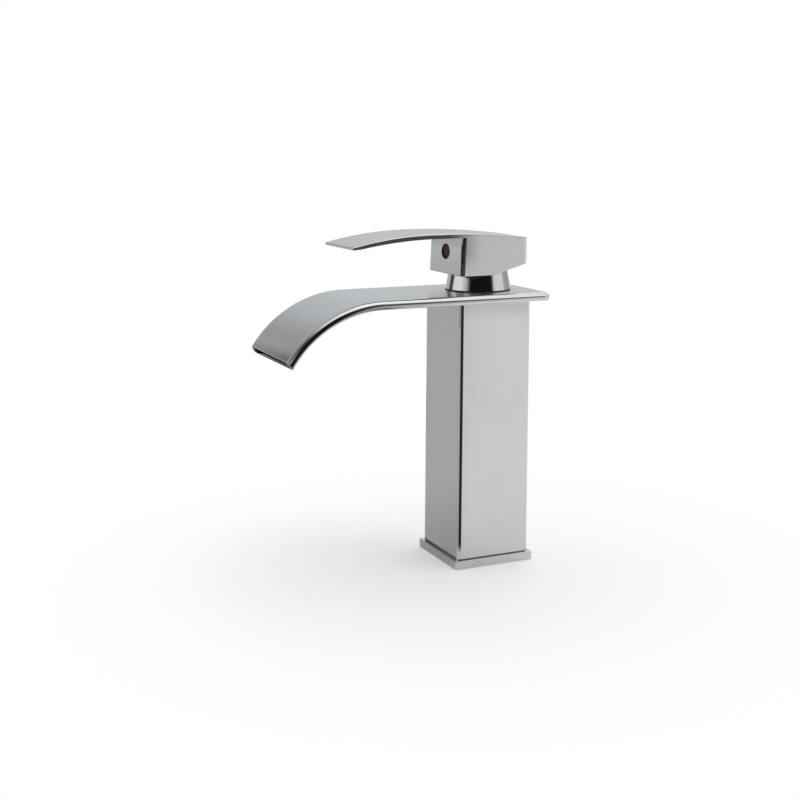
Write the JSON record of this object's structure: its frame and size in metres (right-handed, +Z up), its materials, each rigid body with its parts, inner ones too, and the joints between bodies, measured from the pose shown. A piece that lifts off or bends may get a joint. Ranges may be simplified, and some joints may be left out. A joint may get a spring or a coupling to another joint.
{
  "type": "basin faucet",
  "caption": "Single-lever basin faucet: square chrome column, flat waterfall spout bent down at the front, conical cover, lever with long blade.",
  "frame": {"origin": "middle of the base where it meets the deck", "axes": "+Z up along the column, -Y towards the spout's tip, +X to the cold side"},
  "size_m": [0.0594, 0.1477, 0.1803],
  "materials": {
    "polished_chrome": "mirror polished chrome on brass",
    "raw_brass": "machined",
    "copper_tube": "drawn copper tube",
    "seal_rubber": "moulded",
    "cartridge_plastic": "moulded",
    "slide_plastic": "moulded",
    "disc_ceramic": "lapped alumina",
    "steel": "machined stainless steel",
    "index_red": "moulded"
  },
  "bodies": {
    "body": {"base_plate": "polished_chrome", "base_gasket": "seal_rubber", "column_shell": "polished_chrome", "inlet_block": "raw_brass", "hot_inlet_tube": "copper_tube", "cold_inlet_tube": "copper_tube", "inlet_tube_rings": "seal_rubber", "valve_body": "raw_brass", "spout_upper_shell": "polished_chrome", "spout_lower_plate": "polished_chrome", "cartridge_housing": "cartridge_plastic", "cartridge_base": "cartridge_plastic", "cartridge_port_seals": "seal_rubber", "fixed_ceramic_disc": "disc_ceramic", "cartridge_ring_nut": "raw_brass", "cone_cover": "polished_chrome", "cone_cover_ring": "seal_rubber", "cone_cover_seal": "seal_rubber"},
    "turret": {"turning_collar": "slide_plastic", "turning_collar_ring": "seal_rubber", "stem_pin": "steel"},
    "lever": {"lever_handle": "polished_chrome", "lever_set_screw": "steel", "index_plug": "index_red", "stem": "steel"},
    "disc_slide": {"moving_ceramic_disc": "disc_ceramic", "disc_carrier": "slide_plastic"}
  },
  "joints": [
    {"name": "lever_turn", "type": "hinge", "parent": "body", "child": "turret", "pos_m": [0, 0, 0.15002], "axis": [0, 0, 1], "range_deg": [-45, 45]},
    {"name": "lever_lift", "type": "hinge", "parent": "turret", "child": "lever", "pos_m": [0, 0, 0.15002], "axis": [-1, 0, 0], "range_deg": [0, 25]},
    {"name": "disc_travel", "type": "slide", "parent": "turret", "child": "disc_slide", "axis": [0, -1, 0], "range_m": [0, 0.00381]}
  ],
  "couplings": [
    {"joint": "disc_travel", "follows": "lever_lift", "m_per_rad": 0.008717}
  ]
}
